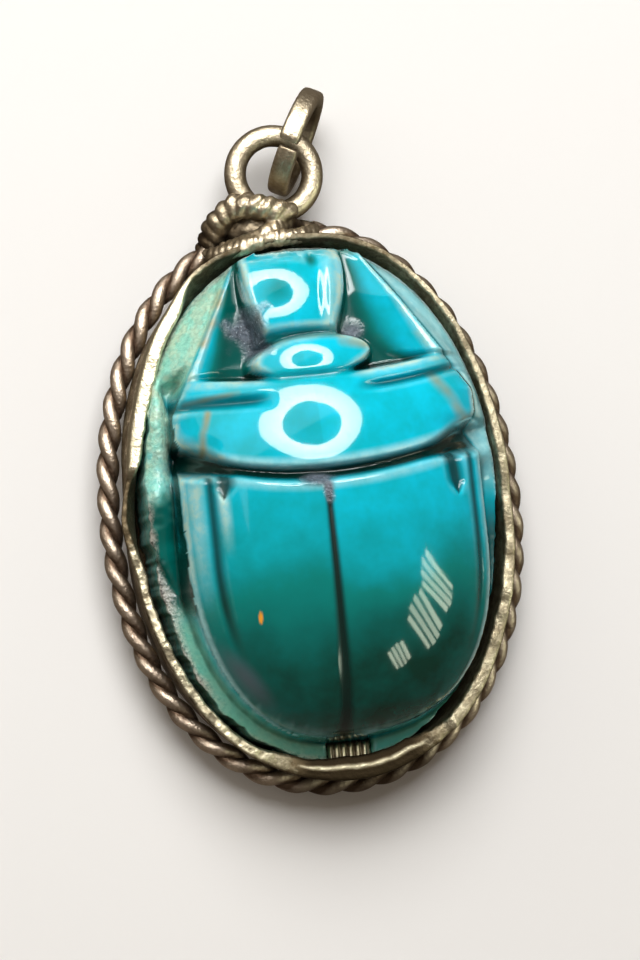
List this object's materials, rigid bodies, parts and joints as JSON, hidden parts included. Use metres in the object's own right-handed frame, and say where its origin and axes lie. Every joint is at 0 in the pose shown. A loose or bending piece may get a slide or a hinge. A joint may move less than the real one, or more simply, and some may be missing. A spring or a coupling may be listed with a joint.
{
  "type": "scarab amulet",
  "caption": "Oval glazed scarab in an open-backed silver collar with a twisted wire border, a soldered ring and an open jump ring.",
  "frame": {"origin": "middle of the bounding box in plan, on the surface that the part lies on", "axes": "+Y from the beetle's tail to its head and the rings, +Z out of the beetle's back"},
  "size_m": [0.0152, 0.025, 0.0073],
  "materials": {
    "glaze": "glossy turquoise alkaline glaze, pooled dark in the cuts, worn pale at the edges",
    "collar_silver": "tarnished hand-hammered silver",
    "rope_silver": "tarnished silver wire, bright on the high spots",
    "ring_silver": "worn silver wire, yellowed by tarnish"
  },
  "bodies": {
    "root": {"scarab": "glaze", "bezel": "collar_silver", "rope_strand_1": "rope_silver", "rope_strand_2": "rope_silver", "ring_foot": "rope_silver", "bail_ring": "ring_silver", "jump_ring": "ring_silver"}
  },
  "joints": []
}
